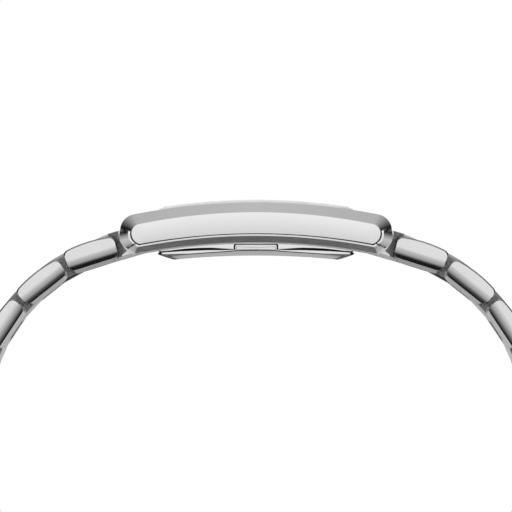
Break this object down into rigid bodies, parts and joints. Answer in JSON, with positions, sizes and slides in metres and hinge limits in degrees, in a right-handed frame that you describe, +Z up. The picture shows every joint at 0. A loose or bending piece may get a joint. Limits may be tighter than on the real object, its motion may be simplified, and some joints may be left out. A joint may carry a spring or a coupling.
{
  "type": "wristwatch",
  "caption": "Rectangular wristwatch with a curved steel case, an arched crystal and a link bracelet with a folding clasp.",
  "frame": {"origin": "centre of the flat underside of the folding clasp", "axes": "+X from 12 o'clock to 6 o'clock, +Y towards the crown, +Z up out of the dial"},
  "size_m": [0.0694, 0.0292, 0.0498],
  "materials": {
    "case_steel": "satin facets, polished bevels",
    "bracelet_steel": "satin with polished edges",
    "clasp_steel": "satin",
    "pin_steel": "turned",
    "crystal_glass": "polished",
    "gasket_plastic": "moulded",
    "gasket_rubber": "moulded",
    "dial_silver": "fine vertical brushing",
    "marker_steel": "polished",
    "hand_steel": "blued",
    "movement_brass": "satin",
    "wheel_brass": "polished",
    "battery_steel": "satin",
    "coil_copper": "enamelled wire",
    "board_green": "lacquered",
    "ring_plastic": "moulded",
    "rotor_magnet": "sintered"
  },
  "bodies": {
    "head": {"case_middle": "case_steel", "crystal": "crystal_glass", "crystal_gasket": "gasket_plastic", "case_back": "case_steel", "back_gasket": "gasket_rubber", "case_pins": "pin_steel", "dial": "dial_silver", "hour_markers": "marker_steel", "movement_plate": "movement_brass", "train_bridge": "movement_brass", "battery": "battery_steel", "coil": "coil_copper", "circuit_board": "board_green", "movement_ring": "ring_plastic", "crown_tube": "pin_steel"},
    "minute_work": {"centre_wheel": "wheel_brass", "minute_hand": "hand_steel"},
    "hour_work": {"hour_wheel": "wheel_brass", "hour_hand": "hand_steel"},
    "minute_wheel": {"minute_wheel": "wheel_brass"},
    "intermediate_wheel": {"intermediate_wheel": "wheel_brass"},
    "rotor": {"rotor": "rotor_magnet"},
    "setting_lever": {"setting_lever": "pin_steel"},
    "crown": {"crown": "case_steel", "stem": "pin_steel"},
    "end_link_12": {"end_link_12": "bracelet_steel"},
    "outer_links_12_1": {"outer_links_12_1": "bracelet_steel"},
    "centre_link_12_2": {"centre_link_12_2": "bracelet_steel"},
    "outer_links_12_2": {"outer_links_12_2": "bracelet_steel"},
    "centre_link_12_3": {"centre_link_12_3": "bracelet_steel"},
    "outer_links_12_3": {"outer_links_12_3": "bracelet_steel"},
    "centre_link_12_4": {"centre_link_12_4": "bracelet_steel"},
    "outer_links_12_4": {"outer_links_12_4": "bracelet_steel"},
    "centre_link_12_5": {"centre_link_12_5": "bracelet_steel"},
    "outer_links_12_5": {"outer_links_12_5": "bracelet_steel"},
    "centre_link_12_6": {"centre_link_12_6": "bracelet_steel"},
    "outer_links_12_6": {"outer_links_12_6": "bracelet_steel"},
    "centre_link_12_7": {"centre_link_12_7": "bracelet_steel"},
    "outer_links_12_7": {"outer_links_12_7": "bracelet_steel"},
    "centre_link_12_8": {"centre_link_12_8": "bracelet_steel"},
    "outer_links_12_8": {"outer_links_12_8": "bracelet_steel"},
    "end_link_6": {"end_link_6": "bracelet_steel"},
    "outer_links_6_1": {"outer_links_6_1": "bracelet_steel"},
    "centre_link_6_2": {"centre_link_6_2": "bracelet_steel"},
    "outer_links_6_2": {"outer_links_6_2": "bracelet_steel"},
    "centre_link_6_3": {"centre_link_6_3": "bracelet_steel"},
    "outer_links_6_3": {"outer_links_6_3": "bracelet_steel"},
    "centre_link_6_4": {"centre_link_6_4": "bracelet_steel"},
    "outer_links_6_4": {"outer_links_6_4": "bracelet_steel"},
    "centre_link_6_5": {"centre_link_6_5": "bracelet_steel"},
    "outer_links_6_5": {"outer_links_6_5": "bracelet_steel"},
    "centre_link_6_6": {"centre_link_6_6": "bracelet_steel"},
    "outer_links_6_6": {"outer_links_6_6": "bracelet_steel"},
    "centre_link_6_7": {"centre_link_6_7": "bracelet_steel"},
    "outer_links_6_7": {"outer_links_6_7": "bracelet_steel"},
    "centre_link_6_8": {"centre_link_6_8": "bracelet_steel"},
    "outer_links_6_8": {"outer_links_6_8": "bracelet_steel"},
    "clasp_base": {"clasp_base": "clasp_steel"},
    "clasp_middle": {"clasp_middle": "clasp_steel"},
    "clasp_cover": {"clasp_cover": "clasp_steel"}
  },
  "joints": [
    {"name": "minute_turn", "type": "hinge", "parent": "head", "child": "minute_work", "pos_m": [0, 0, 0.0471], "axis": [0, 0, -1], "continuous": true},
    {"name": "hour_turn", "type": "hinge", "parent": "head", "child": "hour_work", "pos_m": [0, 0, 0.04642], "axis": [0, 0, -1], "continuous": true},
    {"name": "minute_wheel_turn", "type": "hinge", "parent": "head", "child": "minute_wheel", "pos_m": [0, -0.002, 0.04625], "axis": [0, 0, -1], "continuous": true},
    {"name": "intermediate_turn", "type": "hinge", "parent": "head", "child": "intermediate_wheel", "pos_m": [-0.0027, 0, 0.0453], "axis": [0, 0, -1], "continuous": true},
    {"name": "rotor_turn", "type": "hinge", "parent": "head", "child": "rotor", "pos_m": [-0.00427, -0.0011, 0.04547], "axis": [0, 0, -1], "continuous": true},
    {"name": "crown_pull", "type": "slide", "parent": "head", "child": "setting_lever", "axis": [0, 1, 0], "range_m": [0, 0.0009]},
    {"name": "crown_turn", "type": "hinge", "parent": "setting_lever", "child": "crown", "pos_m": [0, 0.0137, 0.04605], "axis": [0, 1, 0], "continuous": true},
    {"name": "end_link_12_hinge", "type": "hinge", "parent": "head", "child": "end_link_12", "pos_m": [-0.01455, 0, 0.04465], "axis": [0, -1, 0], "range_deg": [-20.5, 0]},
    {"name": "outer_links_12_1_hinge", "type": "hinge", "parent": "end_link_12", "child": "outer_links_12_1", "pos_m": [-0.01778, 0, 0.04369], "axis": [0, -1, 0], "range_deg": [-5, 0]},
    {"name": "centre_link_12_2_hinge", "type": "hinge", "parent": "outer_links_12_1", "child": "centre_link_12_2", "pos_m": [-0.021, 0, 0.04268], "axis": [0, -1, 0], "range_deg": [-15.5, 0]},
    {"name": "outer_links_12_2_hinge", "type": "hinge", "parent": "centre_link_12_2", "child": "outer_links_12_2", "pos_m": [-0.02394, 0, 0.04104], "axis": [0, -1, 0], "range_deg": [-13.5, 0]},
    {"name": "centre_link_12_3_hinge", "type": "hinge", "parent": "outer_links_12_2", "child": "centre_link_12_3", "pos_m": [-0.02658, 0, 0.03895], "axis": [0, -1, 0], "range_deg": [-13, 0]},
    {"name": "outer_links_12_3_hinge", "type": "hinge", "parent": "centre_link_12_3", "child": "outer_links_12_3", "pos_m": [-0.02886, 0, 0.03646], "axis": [0, -1, 0], "range_deg": [-13, 0]},
    {"name": "centre_link_12_4_hinge", "type": "hinge", "parent": "outer_links_12_3", "child": "centre_link_12_4", "pos_m": [-0.03072, 0, 0.03365], "axis": [0, -1, 0], "range_deg": [-13.5, 0]},
    {"name": "outer_links_12_4_hinge", "type": "hinge", "parent": "centre_link_12_4", "child": "outer_links_12_4", "pos_m": [-0.03209, 0, 0.03057], "axis": [0, -1, 0], "range_deg": [-13, 0]},
    {"name": "centre_link_12_5_hinge", "type": "hinge", "parent": "outer_links_12_4", "child": "centre_link_12_5", "pos_m": [-0.03296, 0, 0.02732], "axis": [0, -1, 0], "range_deg": [-12, 0]},
    {"name": "outer_links_12_5_hinge", "type": "hinge", "parent": "centre_link_12_5", "child": "outer_links_12_5", "pos_m": [-0.03337, 0, 0.02397], "axis": [0, -1, 0], "range_deg": [-10, 0]},
    {"name": "centre_link_12_6_hinge", "type": "hinge", "parent": "outer_links_12_5", "child": "centre_link_12_6", "pos_m": [-0.03343, 0, 0.0206], "axis": [0, -1, 0], "range_deg": [-9, 0]},
    {"name": "outer_links_12_6_hinge", "type": "hinge", "parent": "centre_link_12_6", "child": "outer_links_12_6", "pos_m": [-0.03319, 0, 0.01724], "axis": [0, -1, 0], "range_deg": [-10, 0]},
    {"name": "centre_link_12_7_hinge", "type": "hinge", "parent": "outer_links_12_6", "child": "centre_link_12_7", "pos_m": [-0.03261, 0, 0.01392], "axis": [0, -1, 0], "range_deg": [-16, 0]},
    {"name": "outer_links_12_7_hinge", "type": "hinge", "parent": "centre_link_12_7", "child": "outer_links_12_7", "pos_m": [-0.03135, 0, 0.0108], "axis": [0, -1, 0], "range_deg": [-19, 0]},
    {"name": "centre_link_12_8_hinge", "type": "hinge", "parent": "outer_links_12_7", "child": "centre_link_12_8", "pos_m": [-0.02932, 0, 0.00811], "axis": [0, -1, 0], "range_deg": [-20, 0]},
    {"name": "outer_links_12_8_hinge", "type": "hinge", "parent": "centre_link_12_8", "child": "outer_links_12_8", "pos_m": [-0.02663, 0, 0.00608], "axis": [0, -1, 0], "range_deg": [-20, 0]},
    {"name": "end_link_6_hinge", "type": "hinge", "parent": "head", "child": "end_link_6", "pos_m": [0.01455, 0, 0.04465], "axis": [0, 1, 0], "range_deg": [-20.5, 0]},
    {"name": "outer_links_6_1_hinge", "type": "hinge", "parent": "end_link_6", "child": "outer_links_6_1", "pos_m": [0.01778, 0, 0.04369], "axis": [0, 1, 0], "range_deg": [-5, 0]},
    {"name": "centre_link_6_2_hinge", "type": "hinge", "parent": "outer_links_6_1", "child": "centre_link_6_2", "pos_m": [0.021, 0, 0.04268], "axis": [0, 1, 0], "range_deg": [-15.5, 0]},
    {"name": "outer_links_6_2_hinge", "type": "hinge", "parent": "centre_link_6_2", "child": "outer_links_6_2", "pos_m": [0.02394, 0, 0.04104], "axis": [0, 1, 0], "range_deg": [-13.5, 0]},
    {"name": "centre_link_6_3_hinge", "type": "hinge", "parent": "outer_links_6_2", "child": "centre_link_6_3", "pos_m": [0.02658, 0, 0.03895], "axis": [0, 1, 0], "range_deg": [-13, 0]},
    {"name": "outer_links_6_3_hinge", "type": "hinge", "parent": "centre_link_6_3", "child": "outer_links_6_3", "pos_m": [0.02886, 0, 0.03646], "axis": [0, 1, 0], "range_deg": [-13, 0]},
    {"name": "centre_link_6_4_hinge", "type": "hinge", "parent": "outer_links_6_3", "child": "centre_link_6_4", "pos_m": [0.03072, 0, 0.03365], "axis": [0, 1, 0], "range_deg": [-13.5, 0]},
    {"name": "outer_links_6_4_hinge", "type": "hinge", "parent": "centre_link_6_4", "child": "outer_links_6_4", "pos_m": [0.03209, 0, 0.03057], "axis": [0, 1, 0], "range_deg": [-13, 0]},
    {"name": "centre_link_6_5_hinge", "type": "hinge", "parent": "outer_links_6_4", "child": "centre_link_6_5", "pos_m": [0.03296, 0, 0.02732], "axis": [0, 1, 0], "range_deg": [-12, 0]},
    {"name": "outer_links_6_5_hinge", "type": "hinge", "parent": "centre_link_6_5", "child": "outer_links_6_5", "pos_m": [0.03337, 0, 0.02397], "axis": [0, 1, 0], "range_deg": [-10, 0]},
    {"name": "centre_link_6_6_hinge", "type": "hinge", "parent": "outer_links_6_5", "child": "centre_link_6_6", "pos_m": [0.03343, 0, 0.0206], "axis": [0, 1, 0], "range_deg": [-9, 0]},
    {"name": "outer_links_6_6_hinge", "type": "hinge", "parent": "centre_link_6_6", "child": "outer_links_6_6", "pos_m": [0.03319, 0, 0.01724], "axis": [0, 1, 0], "range_deg": [-10, 0]},
    {"name": "centre_link_6_7_hinge", "type": "hinge", "parent": "outer_links_6_6", "child": "centre_link_6_7", "pos_m": [0.03261, 0, 0.01392], "axis": [0, 1, 0], "range_deg": [-16, 0]},
    {"name": "outer_links_6_7_hinge", "type": "hinge", "parent": "centre_link_6_7", "child": "outer_links_6_7", "pos_m": [0.03135, 0, 0.0108], "axis": [0, 1, 0], "range_deg": [-19, 0]},
    {"name": "centre_link_6_8_hinge", "type": "hinge", "parent": "outer_links_6_7", "child": "centre_link_6_8", "pos_m": [0.02932, 0, 0.00811], "axis": [0, 1, 0], "range_deg": [-20, 0]},
    {"name": "outer_links_6_8_hinge", "type": "hinge", "parent": "centre_link_6_8", "child": "outer_links_6_8", "pos_m": [0.02663, 0, 0.00608], "axis": [0, 1, 0], "range_deg": [-20, 0]},
    {"name": "clasp_end_hinge", "type": "hinge", "parent": "outer_links_12_8", "child": "clasp_base", "pos_m": [-0.02348, 0, 0.00487], "axis": [0, -1, 0], "range_deg": [-25, 0]},
    {"name": "clasp_middle_hinge", "type": "hinge", "parent": "clasp_base", "child": "clasp_middle", "pos_m": [0.01851, 0, 0.00414], "axis": [0, -1, 0], "range_deg": [0, 120]},
    {"name": "clasp_cover_hinge", "type": "hinge", "parent": "clasp_middle", "child": "clasp_cover", "pos_m": [-0.02003, 0, 0.00349], "axis": [0, 1, 0], "range_deg": [0, 130]}
  ],
  "couplings": [
    {"joint": "minute_wheel_turn", "follows": "minute_turn", "ratio": -0.33333},
    {"joint": "hour_turn", "follows": "minute_turn", "ratio": 0.083333},
    {"joint": "intermediate_turn", "follows": "minute_turn", "ratio": -8},
    {"joint": "rotor_turn", "follows": "minute_turn", "ratio": 60}
  ]
}
